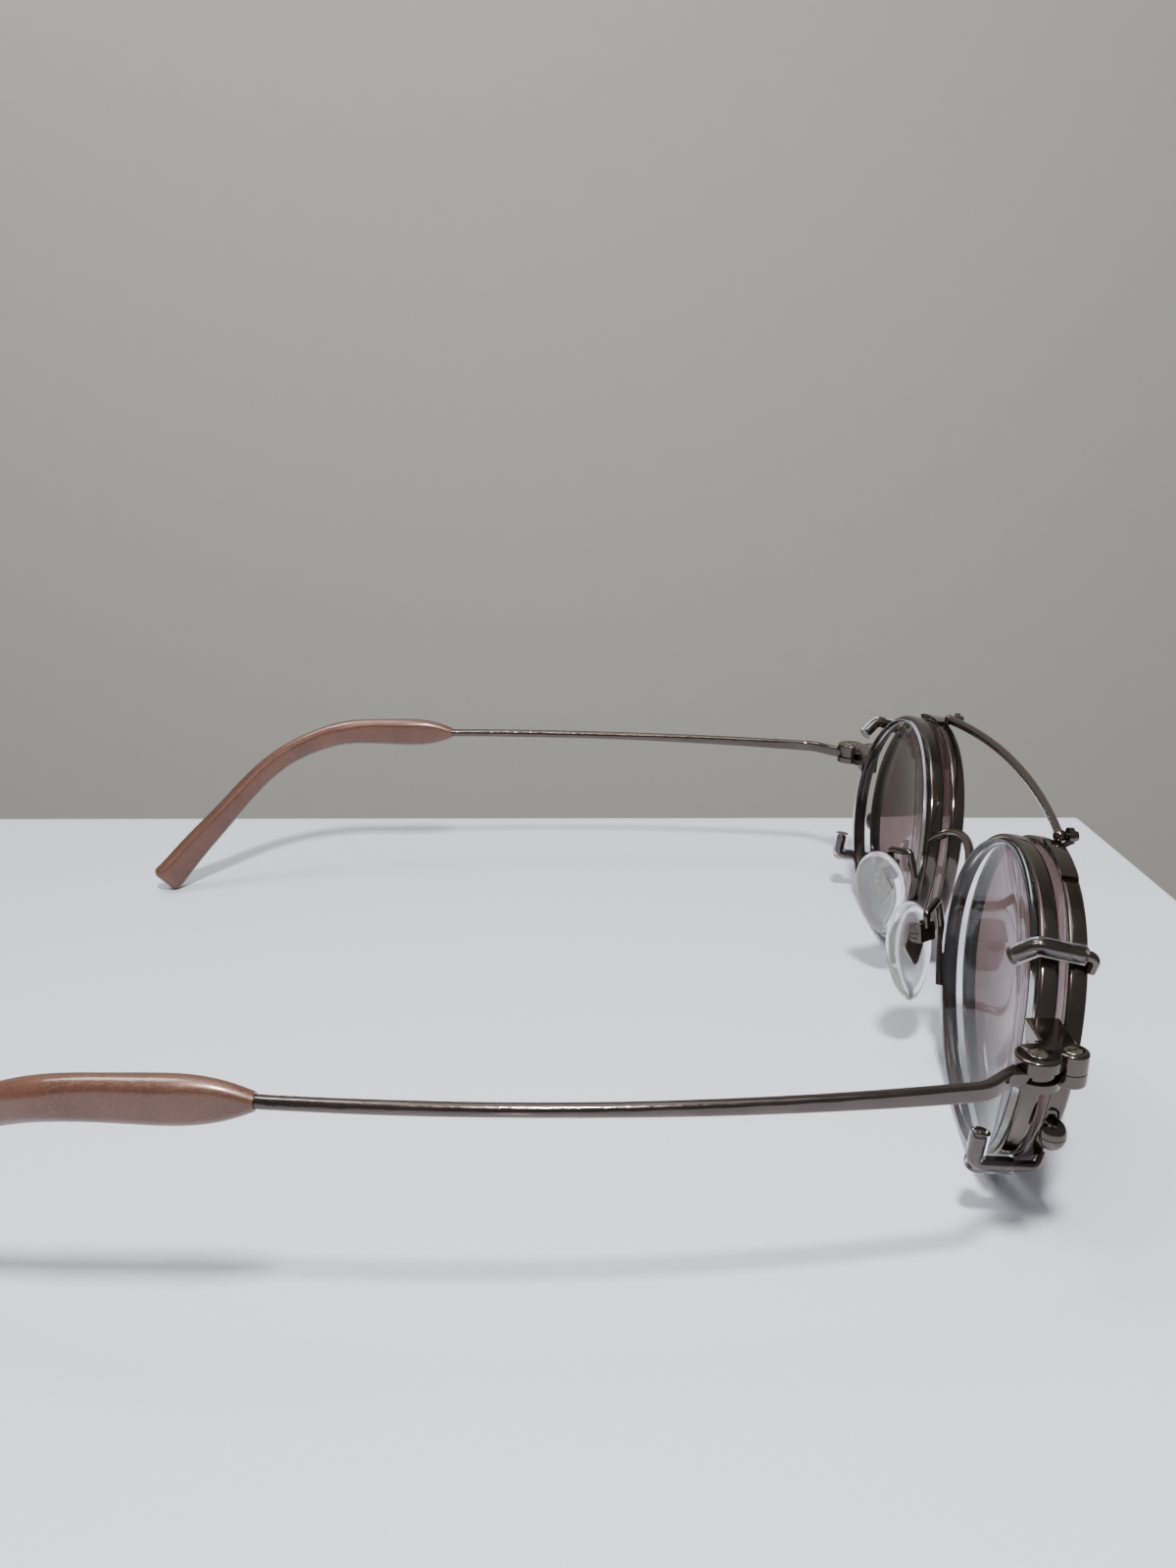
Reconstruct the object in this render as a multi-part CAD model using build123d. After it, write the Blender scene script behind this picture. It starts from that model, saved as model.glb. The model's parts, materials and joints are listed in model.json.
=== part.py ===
from build123d import *
from math import cos, pi, radians, sin, tan
import os

# Metal spectacle frame with a matching clip-on pair of tinted lenses.
# Millimetres. Pieces are drawn in assembly axes first: +X to the wearer's left, +Y to the back,
# +Z up along the temple hinge screws, origin midway between the two temple eyes.
# rest_move() then leans the whole frame back until it rests on its rims and temple tips.

# ---- main frame: rims and lenses ----
EYE_HALF_WIDTH = 22.1        # outer half width of a rim
EYE_HALF_HEIGHT = 18.6       # outer half height of a rim
EYE_CENTRE_X = 31.4          # middle of a lens from the frame's middle
EYE_CENTRE_Y = -6.75         # front vertex of the rim's mid surface
EYE_CENTRE_Z = -5.2
OVAL_LEAN = 6.1              # degrees, the oval's top leans to the temple
FACE_WRAP = 2.8              # degrees, each lens turned back at the temple side
PANTO_TILT = 5.65            # degrees, top of each lens forward of the bottom
LENS_RADIUS = 68.0           # spherical base curve of rims and lenses
RIM_WIDTH = 2.04             # front to back
RIM_THICKNESS = 0.8          # in the plane of the lens
RIM_ROUNDING = 0.5
RIM_GAP = 0.1                # saw cut that the closing screw pulls shut
LENS_CLEARANCE = 0.03        # lens edge to rim, all round
BEVEL_HEIGHT = 0.38
BEVEL_WIDTH = 0.8
DEMO_FRONT = 0.25            # demo lens faces, measured forward of the rim's mid surface
DEMO_BACK = -1.9
DEMO_BEVEL = -0.2            # middle of the demo lens's bevel

# ---- clip-on rims and lenses ----
CLIP_HALF_WIDTH = 21.9
CLIP_HALF_HEIGHT = 18.5
CLIP_FORWARD = 3.12          # clip rim in front of the main rim, centre to centre
CLIP_SHIFT_X = -0.38
CLIP_SHIFT_Y = 0.24
TINT_FRONT = 0.3
TINT_BACK = -0.7
TINT_BEVEL = -0.2            # middle of the tinted lens's bevel
CLIP_LOCK_ANGLE = 348.0      # where the clip rim is closed, degrees round the oval

# ---- end piece and temple hinge ----
HINGE_X = 59.6               # hinge screw axis, at Y = 0
EYE_PLATE = 1.0              # thickness of the temple's eye
PLATE_GAP = 0.05             # running gap above and below the eye
TOP_PLATE = 1.3
BOTTOM_PLATE = 0.9
HINGE_DISC = 2.35            # radius of the plates round the hinge screw
TEMPLE_EYE = 1.9
CLOSING_X = 58.7             # closing screw axis
CLOSING_Y = -3.7
CLOSING_BARREL = 1.65
SEAM_DROP = 0.3              # seam of the closing barrel below the eye's middle
BARREL_BOTTOM = 1.8          # bottom of the closing barrel below the eye's middle
LUG_HALF_WIDTH = 1.8
LUG_Y = -2.75
LUG_INNER_X = 51.6
HINGE_SCREW = 0.6
CLOSING_SCREW = 0.52
SCREW_HEAD_HEIGHT = 0.45
SCREW_HEAD_EXTRA = 0.4       # head radius over shank radius
SCREW_SLOT = 0.3
RUNNING_CLEARANCE = 0.05
THREAD_CLEARANCE = 0.01

# ---- temple ----
TEMPLE_OFFSET = 3.9          # wire outboard of the hinge once it has turned back
TEMPLE_TURN = 7.0            # length of that outward turn
TEMPLE_LENGTH = 75.8         # hinge screw to the front of the tip
TEMPLE_SPREAD = 6.0          # how much wider the temple is at the tip than after the turn
TEMPLE_BOW = 2.6
TEMPLE_HEIGHT = 1.9          # by the hinge
TEMPLE_THICKNESS = 1.25
WIRE_DIAMETER = 1.45         # at the tip

# ---- temple tip ----
TIP_STRAIGHT = 15.9
TIP_BEND_RADIUS = 31.5
TIP_BEND = 47.6              # degrees
TIP_DROP = 22.4              # straight length behind the ear
TIP_LEAN = 0.4               # inward run per length after the bend starts
TIP_FRONT_HEIGHT = 1.9
TIP_SHOULDER = 7.5           # length of the swelling at its front
TIP_HEIGHT = 5.2
TIP_WAIST = 4.1
TIP_END_HEIGHT = 6.2
TIP_THICKNESS = 3.0
TIP_END_ROUND = 1.2
CORE_DIAMETER = 1.1
CORE_LENGTH = 46.0           # wire inside the tip
CORE_CLEARANCE = 0.02

# ---- bridge and clip bar ----
BRIDGE_HALF_SPAN = 10.2
BRIDGE_RISE = 3.9
BRIDGE_FORWARD = 2.3
BRIDGE_END_Y = -4.4
BRIDGE_DIAMETER = 1.3
BAR_END_X = 28.7
BAR_END_Y = -10.1
BAR_END_Z = 14.25
BAR_RISE = 1.3
BAR_FORWARD = 1.95
BAR_HEIGHT = 1.5
BAR_THICKNESS = 0.9
BAR_RUNS = 10                # sections along the bar
BALL_RADIUS = 0.8
PIN_RADIUS = 0.4
PIN_HEAD = 0.62
EYELET_RADIUS = 1.05
EYELET_THICKNESS = 0.65
EYELET_GAP = 0.12
TAB_THICKNESS = 0.45
TAB_WIDTH = 1.9
TAB_LINK = 0.36              # radius of the wire from the tab to its eyelet
TAB_FROM = 74.0              # degrees round the oval
TAB_TO = 103.0

# ---- clip closing block ----
LOCK_RADIUS = 1.5
LOCK_HEIGHT = 3.3
LOCK_SCREW = 0.42
LOCK_SCREW_HEAD = 0.35
LOCK_NECK_ROOM = 1.0         # round the screw's head

# ---- nose pads ----
PAD_X = 10.9
PAD_Y = 2.4
PAD_Z = -8.8
PAD_SPLAY = 36.5             # degrees, contact face turned back from the frame's middle plane
PAD_FLARE = 9.0              # degrees, pads wider apart at the bottom
PAD_TOP_RADIUS = 4.3
PAD_BOTTOM_RADIUS = 2.7
PAD_CENTRES = 7.0            # between the two circles of the outline
PAD_THICKNESS = 2.3
PAD_ROUNDING = 0.95
PAD_MOUNT_UP = 3.3           # mount above the pad's middle
CORE_PLATE = 0.8
CORE_PLATE_HEIGHT = 6.7
CORE_PLATE_WIDTH = 3.8
LUG_THICKNESS = 1.2
BOX_WALL = 0.7
BOX_CLEARANCE = 0.08
BOX_HEIGHT = 2.6
BOX_DEPTH = 2.1
BOX_STAND_OFF = 0.35         # pad's back to the fork
BOX_BACK_WALL = 0.3
PAD_SCREW_HEAD = 0.25
ARM_BEHIND_AXIS = 1.15
PAD_SCREW = 0.4
PAD_AXIS_BACK = 2.3          # rocking axis behind the pad's middle surface
ARM_DIAMETER = 1.05
FOOT_FROM = 198.0            # arm foot on the rim, degrees round the oval
FOOT_TO = 210.0
FOOT_THICKNESS = 0.75

# ---- clip hooks ----
HOOK_DIAMETER = 1.2
HOOK_BEND = 0.9              # radius of its corners
UPPER_SLEEVE_START = 0.2     # share of the hook's second run left bare
LOWER_SLEEVE_START = 0.38
SLEEVE_PAST_END = 0.7
SLEEVE_WALL = 0.5
SLEEVE_CLEARANCE = 0.02

TOP = EYE_PLATE / 2 + PLATE_GAP + TOP_PLATE
SEAM = -SEAM_DROP
HINGE_BOTTOM = -(EYE_PLATE / 2 + PLATE_GAP + BOTTOM_PLATE)


# ---- shared helpers ----
def lens_location():
    """Plane of the left lens: x to the temple, y up, z forward, turned with the oval's lean."""
    wrap = radians(FACE_WRAP)
    tilt = radians(PANTO_TILT)
    across = (cos(wrap), sin(wrap) * cos(tilt), sin(wrap) * sin(tilt))
    forward = (sin(wrap), -cos(wrap) * cos(tilt), -cos(wrap) * sin(tilt))
    centre = (EYE_CENTRE_X, EYE_CENTRE_Y, EYE_CENTRE_Z)
    return Plane(origin=centre, x_dir=across, z_dir=forward).location * Rotation(0, 0, -OVAL_LEAN)


def clip_location():
    """Plane of the left clip lens, in front of the main one."""
    wrap = radians(OVAL_LEAN)
    shift_x = CLIP_SHIFT_X * cos(wrap) - CLIP_SHIFT_Y * sin(wrap)
    shift_y = CLIP_SHIFT_X * sin(wrap) + CLIP_SHIFT_Y * cos(wrap)
    return lens_location() * Location((shift_x, shift_y, CLIP_FORWARD))


def curved_layer(back, front):
    """Space between two spheres that follow the lens curve."""
    outer = Pos(0, 0, -LENS_RADIUS) * Sphere(LENS_RADIUS + front)
    inner = Pos(0, 0, -LENS_RADIUS) * Sphere(LENS_RADIUS + back)
    return outer - inner


def oval_disc(half_width, half_height, back, front):
    """Oval plate bent to the lens curve."""
    block = extrude(Ellipse(half_width, half_height), amount=12, both=True)
    return block & curved_layer(back, front)


def oval_ring(half_width, half_height, thickness, back, front):
    """Oval ring bent to the lens curve."""
    face = Ellipse(half_width, half_height) - Ellipse(half_width - thickness, half_height - thickness)
    return extrude(face, amount=12, both=True) & curved_layer(back, front)


def bevelled_edge(half_width, half_height, middle, extra):
    """V ridge round a lens, or the groove for it when extra is a clearance."""
    rise = BEVEL_HEIGHT + extra
    half = BEVEL_WIDTH / 2 + extra
    ring = oval_ring(half_width + rise, half_height + rise, rise + 0.3, middle - half, middle + half)
    outer_edges = ring.edges().sort_by(Edge.length)[-2:]
    return chamfer(outer_edges, length=half * 0.9)


def wedge(angle_from, angle_to, reach=40):
    """Pie slice of the lens plane, degrees from the temple side."""
    start = (reach * cos(radians(angle_from)), reach * sin(radians(angle_from)))
    end = (reach * cos(radians(angle_to)), reach * sin(radians(angle_to)))
    return extrude(make_face(Polyline((0, 0), start, end, close=True)), amount=20, both=True)


def oval_point(half_width, half_height, angle, out=0.0, forward=0.0):
    """Point on an oval's edge, moved outward and forward along the lens curve."""
    x = (half_width + out) * cos(radians(angle))
    y = (half_height + out) * sin(radians(angle))
    return (x, y, forward - (x * x + y * y) / (2 * LENS_RADIUS))


def at(location, point):
    """Assembly coordinates of a point given in a local plane."""
    return Vector((location * Location(point)).position)


def bent_wire(points, bend_radius):
    """Path of straight runs with tangent arcs at the corners."""
    corners = [Vector(p) for p in points]
    edges = []
    start = corners[0]
    for before, corner, after in zip(corners, corners[1:], corners[2:]):
        back = (before - corner).normalized()
        ahead = (after - corner).normalized()
        half_turn = (pi - radians(back.get_angle(ahead))) / 2
        trim = bend_radius * tan(half_turn)
        middle = corner + (back + ahead).normalized() * (bend_radius / cos(half_turn) - bend_radius)
        edges.append(Line(start, corner + back * trim))
        edges.append(ThreePointArc(corner + back * trim, middle, corner + ahead * trim))
        start = corner + ahead * trim
    edges.append(Line(start, corners[-1]))
    return Wire(edges)


def tube(path, radius, hole=0.0):
    """Round wire along a path, or a sleeve when it has a hole."""
    face = Circle(radius) - Circle(hole) if hole else Circle(radius)
    return sweep(Plane(origin=path @ 0, z_dir=path % 0) * face, path=path)


def fitted(shape, neighbours):
    """Shape cut back to meet its neighbours face to face."""
    for neighbour in neighbours:
        shape = shape - neighbour
    return shape


def slotted_screw(shank, length, head_height=SCREW_HEAD_HEIGHT):
    """Screw pointing down from its head's top face at z = 0."""
    head = shank + SCREW_HEAD_EXTRA
    body = Pos(0, 0, -head_height / 2) * Cylinder(head, head_height)
    body = fillet(body.edges().sort_by(Axis.Z)[-1], radius=0.12)
    body += Pos(0, 0, -(head_height + length) / 2) * Cylinder(shank, length - head_height)
    return body - Box(2 * head + 1, SCREW_SLOT, 0.36)


def screw_hole(shank, length, clearance, head_height=SCREW_HEAD_HEIGHT):
    """Counterbored hole for slotted_screw."""
    head = shank + SCREW_HEAD_EXTRA + clearance
    bore = Pos(0, 0, -length / 2) * Cylinder(shank + clearance, length + 1)
    return bore + Pos(0, 0, 0.5 - head_height / 2) * Cylinder(head, head_height + 1)


def rim_band(half_width, half_height):
    """Domed metal band of a rim, before its groove and saw cut."""
    ring = oval_ring(half_width, half_height, RIM_THICKNESS, -RIM_WIDTH / 2, RIM_WIDTH / 2)
    return fillet(ring.edges().sort_by(Edge.length)[-2:], radius=RIM_ROUNDING)


def lens_space():
    """Everything inside the main rim's inner edge, right through."""
    opening = Ellipse(EYE_HALF_WIDTH - RIM_THICKNESS + 0.02, EYE_HALF_HEIGHT - RIM_THICKNESS + 0.02)
    return lens_location() * extrude(opening, amount=8, both=True)


def rim_space():
    """Everything inside the main rim's outer edge, right through."""
    return lens_location() * extrude(Ellipse(EYE_HALF_WIDTH, EYE_HALF_HEIGHT), amount=8, both=True)


def lens_body_space():
    """Space of the demo lens itself, with a hair of room behind it."""
    half_width = EYE_HALF_WIDTH - RIM_THICKNESS + 0.02
    half_height = EYE_HALF_HEIGHT - RIM_THICKNESS + 0.02
    return lens_location() * oval_disc(half_width, half_height, DEMO_BACK - 0.05, 3)


# ---- main rims, lenses ----
def rim():
    inner_x = EYE_HALF_WIDTH - RIM_THICKNESS
    inner_y = EYE_HALF_HEIGHT - RIM_THICKNESS
    band = rim_band(EYE_HALF_WIDTH, EYE_HALF_HEIGHT)
    ring = lens_location() * (band - bevelled_edge(inner_x, inner_y, DEMO_BEVEL, LENS_CLEARANCE))
    return ring - Pos(LUG_INNER_X + 2, LUG_Y, SEAM) * Box(6, 8, RIM_GAP)


def demo_lens():
    inner_x = EYE_HALF_WIDTH - RIM_THICKNESS - LENS_CLEARANCE
    inner_y = EYE_HALF_HEIGHT - RIM_THICKNESS - LENS_CLEARANCE
    lens = oval_disc(inner_x, inner_y, DEMO_BACK, DEMO_FRONT)
    lens += bevelled_edge(inner_x, inner_y, DEMO_BEVEL, 0.0)
    return lens_location() * lens


# ---- clip rims, lenses ----
def clip_rim():
    ring = rim_band(CLIP_HALF_WIDTH, CLIP_HALF_HEIGHT)
    inner_x = CLIP_HALF_WIDTH - RIM_THICKNESS
    inner_y = CLIP_HALF_HEIGHT - RIM_THICKNESS
    ring -= bevelled_edge(inner_x, inner_y, TINT_BEVEL, LENS_CLEARANCE)
    seam = oval_point(CLIP_HALF_WIDTH, CLIP_HALF_HEIGHT, CLIP_LOCK_ANGLE)
    cut = Location(seam, (0, 0, CLIP_LOCK_ANGLE)) * Box(6, RIM_GAP, 8)
    return clip_location() * (ring - cut)


def tinted_lens():
    inner_x = CLIP_HALF_WIDTH - RIM_THICKNESS - LENS_CLEARANCE
    inner_y = CLIP_HALF_HEIGHT - RIM_THICKNESS - LENS_CLEARANCE
    lens = oval_disc(inner_x, inner_y, TINT_BACK, TINT_FRONT)
    lens += bevelled_edge(inner_x, inner_y, TINT_BEVEL, 0.0)
    return clip_location() * lens


# ---- end piece: two plates that close the rim and carry the hinge ----
def end_plate(disc_low, disc_high, barrel_low, barrel_high):
    disc = Pos(HINGE_X, 0, (disc_low + disc_high) / 2) * Cylinder(HINGE_DISC, disc_high - disc_low)
    barrel_height = barrel_high - barrel_low
    barrel = Pos(CLOSING_X, CLOSING_Y, (barrel_low + barrel_high) / 2)
    barrel *= Cylinder(CLOSING_BARREL, barrel_height)
    lug_length = CLOSING_X - 1.4 - LUG_INNER_X
    lug = Pos(LUG_INNER_X + lug_length / 2, LUG_Y, (barrel_low + barrel_high) / 2)
    lug *= Box(lug_length, 2 * LUG_HALF_WIDTH, barrel_height)
    web = Pos(CLOSING_X - 0.6, CLOSING_Y / 2 + 0.1, (disc_low + disc_high) / 2)
    web *= Box(3.0, 2.6, disc_high - disc_low)
    return disc + barrel + lug + web


def soften_top(plate, height, radius):
    """Round the outer rims of the face at a height."""
    face = plate.faces().filter_by(Axis.Z).group_by(Axis.Z)[-1 if height > 0 else 0]
    return fillet(face.edges(), radius=radius)


def eye_relief():
    """Room for the temple's eye to turn between the plates."""
    height = EYE_PLATE + 2 * PLATE_GAP
    return Pos(HINGE_X, 0, 0) * Cylinder(TEMPLE_EYE + 0.35, height)


def top_plate(neighbours):
    low = EYE_PLATE / 2 + PLATE_GAP
    plate = soften_top(end_plate(low, TOP, SEAM + RIM_GAP / 2, TOP), TOP, 0.3)
    plate -= eye_relief()
    plate -= Pos(HINGE_X, 0, TOP) * screw_hole(HINGE_SCREW, 4, RUNNING_CLEARANCE)
    plate -= Pos(CLOSING_X, CLOSING_Y, TOP) * screw_hole(CLOSING_SCREW, 4, RUNNING_CLEARANCE)
    return fitted(plate, neighbours)


def bottom_plate(neighbours):
    high = -(EYE_PLATE / 2 + PLATE_GAP)
    plate = soften_top(end_plate(HINGE_BOTTOM, high, -BARREL_BOTTOM, SEAM - RIM_GAP / 2), -1, 0.25)
    plate -= eye_relief()
    for x, y, shank in ((HINGE_X, 0, HINGE_SCREW), (CLOSING_X, CLOSING_Y, CLOSING_SCREW)):
        plate -= Pos(x, y, 0) * Cylinder(shank + THREAD_CLEARANCE, 8)
    return fitted(plate, neighbours)


def hinge_screw():
    return Pos(HINGE_X, 0, TOP) * Rotation(0, 0, 25) * slotted_screw(HINGE_SCREW, TOP - HINGE_BOTTOM)


def closing_screw():
    length = TOP + BARREL_BOTTOM - 0.2
    return Pos(CLOSING_X, CLOSING_Y, TOP) * Rotation(0, 0, 70) * slotted_screw(CLOSING_SCREW, length)


# ---- temple wire and its tip ----
def temple_x(y):
    """Plan shape of the temple: outward turn, then a gentle outward bow."""
    share = min(max(y, 0.0) / TEMPLE_TURN, 1.0)
    turn = TEMPLE_OFFSET * share * share * (3 - 2 * share)
    run = max(y - TEMPLE_TURN / 2, 0.0) / (TEMPLE_LENGTH - TEMPLE_TURN / 2)
    return HINGE_X + turn + TEMPLE_SPREAD * run + TEMPLE_BOW * 4 * run * (1 - run)


def tip_station(s):
    """Centre and direction of the tip's wire at a distance from the tip's front end."""
    bend_length = TIP_BEND_RADIUS * radians(TIP_BEND)
    angle = min(max(s - TIP_STRAIGHT, 0.0) / TIP_BEND_RADIUS, radians(TIP_BEND))
    after = max(s - TIP_STRAIGHT - bend_length, 0.0)
    y = TEMPLE_LENGTH + min(s, TIP_STRAIGHT) + TIP_BEND_RADIUS * sin(angle) + after * cos(angle)
    z = -TIP_BEND_RADIUS * (1 - cos(angle)) - after * sin(angle)
    lean = TIP_LEAN * angle / radians(TIP_BEND)
    run = max(s - TIP_STRAIGHT, 0.0)
    blend = min(run / bend_length, 1.0)
    x = temple_x(TEMPLE_LENGTH) - TIP_LEAN * (run - bend_length * blend / 2 * (2 - blend))
    return Vector(x, y, z), Vector(-lean, cos(angle), -sin(angle))


def across_plane(centre, direction):
    """Plane square to a wire, with its y axis as near to up as it can be."""
    side = Vector(0, 0, 1).cross(direction) * -1
    return Plane(origin=centre, x_dir=side, z_dir=direction)


def temple_section(y):
    share = min(y / 45.0, 1.0)
    height = TEMPLE_HEIGHT + (WIRE_DIAMETER - TEMPLE_HEIGHT) * share
    width = TEMPLE_THICKNESS + (WIRE_DIAMETER - TEMPLE_THICKNESS) * share
    step = 0.1
    direction = Vector(temple_x(y + step) - temple_x(y - step), 2 * step, 0)
    corner = 0.3 + (WIRE_DIAMETER / 2 - 0.32) * share
    face = RectangleRounded(width, height, corner)
    return across_plane(Vector(temple_x(y), y, 0), direction) * face


def evenly(first, last, runs):
    return [first + (last - first) * n / runs for n in range(runs + 1)]


def plate_room():
    """Space that the hinge plates fill above and below the temple's eye."""
    slab = Pos(HINGE_X, 0, 0) * Cylinder(HINGE_DISC + 0.2, 6)
    return slab - Pos(HINGE_X, 0, 0) * Cylinder(HINGE_DISC + 1, EYE_PLATE)


def temple():
    turned = TEMPLE_TURN + 2.0
    turn = loft([temple_section(y) for y in evenly(2.2, turned, 5)])
    arm = loft([temple_section(y) for y in evenly(turned, TEMPLE_LENGTH, 7)])
    root = Plane(origin=(HINGE_X + 0.1, 0.3, 0), x_dir=(-1, 0, 0), z_dir=(0, 1, 0))
    neck = loft([root * RectangleRounded(2.8, EYE_PLATE, 0.2), temple_section(3.3)])
    wire = (turn + arm + neck + core_wire(0.0, CORE_LENGTH)) - plate_room()
    eye = Pos(HINGE_X, 0, 0) * Cylinder(TEMPLE_EYE, EYE_PLATE)
    return wire + eye - Pos(HINGE_X, 0, 0) * Cylinder(HINGE_SCREW + RUNNING_CLEARANCE, 8)


def core_wire(extra, length):
    """Wire inside the tip, or its bore when extra is a clearance."""
    faces = []
    for number in range(8):
        centre, direction = tip_station(length * number / 7)
        faces.append(across_plane(centre, direction) * Circle(CORE_DIAMETER / 2 + extra))
    return loft(faces)


def tip_height(s, length):
    """Height of the tip along its length: swelling, waist, flared end."""
    if s <= TIP_SHOULDER:
        share = s / TIP_SHOULDER
        return TIP_FRONT_HEIGHT + (TIP_HEIGHT - TIP_FRONT_HEIGHT) * share * (2 - share)
    waist_at = 0.52 * length
    if s <= waist_at:
        share = (s - TIP_SHOULDER) / (waist_at - TIP_SHOULDER)
        return TIP_HEIGHT + (TIP_WAIST - TIP_HEIGHT) * share * share * (3 - 2 * share)
    share = (s - waist_at) / (length - waist_at)
    return TIP_WAIST + (TIP_END_HEIGHT - TIP_WAIST) * share * share


def tip():
    length = TIP_STRAIGHT + TIP_BEND_RADIUS * radians(TIP_BEND) + TIP_DROP
    stations = [0.0, 2.0, 4.5, TIP_SHOULDER, 11.0]
    stations += [11.0 + (length - 11.0) * n / 8 for n in range(1, 9)]
    faces = []
    for s in stations:
        centre, direction = tip_station(s)
        height = tip_height(s, length)
        width = TIP_FRONT_HEIGHT + (TIP_THICKNESS - TIP_FRONT_HEIGHT) * min(s / TIP_SHOULDER, 1.0)
        face = RectangleRounded(width, height, width * 0.495)
        faces.append(across_plane(centre, direction) * face)
    body = loft(faces)
    end, direction = tip_station(length)
    end_edges = body.edges().filter_by(lambda e: e.center().sub(end).length < TIP_END_HEIGHT * 0.6)
    body = fillet(end_edges, radius=TIP_END_ROUND)
    return body - core_wire(CORE_CLEARANCE, CORE_LENGTH + 0.3)


# ---- bridge ----
def bridge(neighbours):
    end_left = (BRIDGE_HALF_SPAN, BRIDGE_END_Y, 0)
    end_right = (-BRIDGE_HALF_SPAN, BRIDGE_END_Y, 0)
    middle = (0, BRIDGE_END_Y - BRIDGE_FORWARD, BRIDGE_RISE)
    wire = tube(Wire([ThreePointArc(end_right, middle, end_left)]), BRIDGE_DIAMETER / 2)
    for x in (BRIDGE_HALF_SPAN, -BRIDGE_HALF_SPAN):
        wire += Pos(x, BRIDGE_END_Y, 0) * Sphere(BRIDGE_DIAMETER / 2)
    return fitted(wire, neighbours)


# ---- nose pads ----
def pad_location():
    """Plane of the left pad: x across it to the back, y up, z from the pad to its arm."""
    splay = radians(PAD_SPLAY)
    flare = radians(PAD_FLARE)
    outward = Vector(cos(splay) * cos(flare), -sin(splay) * cos(flare), sin(flare))
    chord = Vector(sin(splay), cos(splay), 0)
    return Plane(origin=(PAD_X, PAD_Y, PAD_Z), x_dir=chord, z_dir=outward).location


def pad_axis_point():
    """Point on the pad's rocking axis."""
    return at(pad_location(), (0, PAD_MOUNT_UP, PAD_AXIS_BACK))


def pad_core():
    """Diamond insert moulded into the pad, with the lug that the box holds."""
    low = PAD_THICKNESS / 2 - CORE_PLATE
    half_height = CORE_PLATE_HEIGHT / 2
    half_width = CORE_PLATE_WIDTH / 2
    outline = Polyline((0, half_height), (half_width, 0), (0, -half_height), (-half_width, 0), close=True)
    plate = Pos(0, 1.2, low) * extrude(make_face(outline), amount=CORE_PLATE)
    upright = plate.edges().filter_by(Axis.Z)
    plate = fillet(upright, radius=0.5)
    lug_length = PAD_AXIS_BACK - PAD_THICKNESS / 2 + 0.1
    lug = Pos(0, PAD_MOUNT_UP, PAD_AXIS_BACK - lug_length / 2) * Box(LUG_THICKNESS, 1.7, lug_length)
    lug += Pos(0, PAD_MOUNT_UP, PAD_AXIS_BACK) * Rotation(0, 90, 0) * Cylinder(0.85, LUG_THICKNESS)
    hole = Pos(0, PAD_MOUNT_UP, PAD_AXIS_BACK) * Rotation(0, 90, 0)
    hole *= Cylinder(PAD_SCREW + RUNNING_CLEARANCE, 6)
    return pad_location() * (plate + lug - hole)


def nose_pad(core):
    lower = PAD_CENTRES * 0.62
    upper = PAD_CENTRES - lower
    circles = [Pos(0, upper) * Circle(PAD_TOP_RADIUS), Pos(0, -lower) * Circle(PAD_BOTTOM_RADIUS)]
    outline = make_hull([edge for circle in circles for edge in circle.edges()])
    body = Pos(0, 0, -PAD_THICKNESS / 2) * extrude(outline, amount=PAD_THICKNESS)
    body = fillet(body.faces().filter_by(Axis.Z).edges(), radius=PAD_ROUNDING)
    return pad_location() * body - core


def box_width():
    return LUG_THICKNESS + 2 * BOX_CLEARANCE + 2 * BOX_WALL


def box_slot(extra_height):
    """Slot for the pad's lug, open towards the pad."""
    low = PAD_THICKNESS / 2 + BOX_STAND_OFF
    slot = Pos(0, PAD_MOUNT_UP, low + BOX_DEPTH / 2 - BOX_BACK_WALL)
    return slot * Box(LUG_THICKNESS + 2 * BOX_CLEARANCE, BOX_HEIGHT + extra_height, BOX_DEPTH)


def pad_box():
    """Fork on the arm's end that holds the pad's lug."""
    low = PAD_THICKNESS / 2 + BOX_STAND_OFF
    block = Pos(0, PAD_MOUNT_UP, low + BOX_DEPTH / 2) * Box(box_width(), BOX_HEIGHT, BOX_DEPTH)
    block = fillet(block.edges().filter_by(Axis.X), radius=0.35)
    hole = Pos(box_width() / 2, PAD_MOUNT_UP, PAD_AXIS_BACK) * Rotation(0, 90, 0)
    hole *= screw_hole(PAD_SCREW, box_width() + 1, THREAD_CLEARANCE, PAD_SCREW_HEAD)
    return block - box_slot(1) - hole


def pad_screw():
    start = Pos(box_width() / 2, PAD_MOUNT_UP, PAD_AXIS_BACK) * Rotation(0, 90, 0)
    return pad_location() * (start * slotted_screw(PAD_SCREW, box_width() - 0.1, PAD_SCREW_HEAD))


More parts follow.
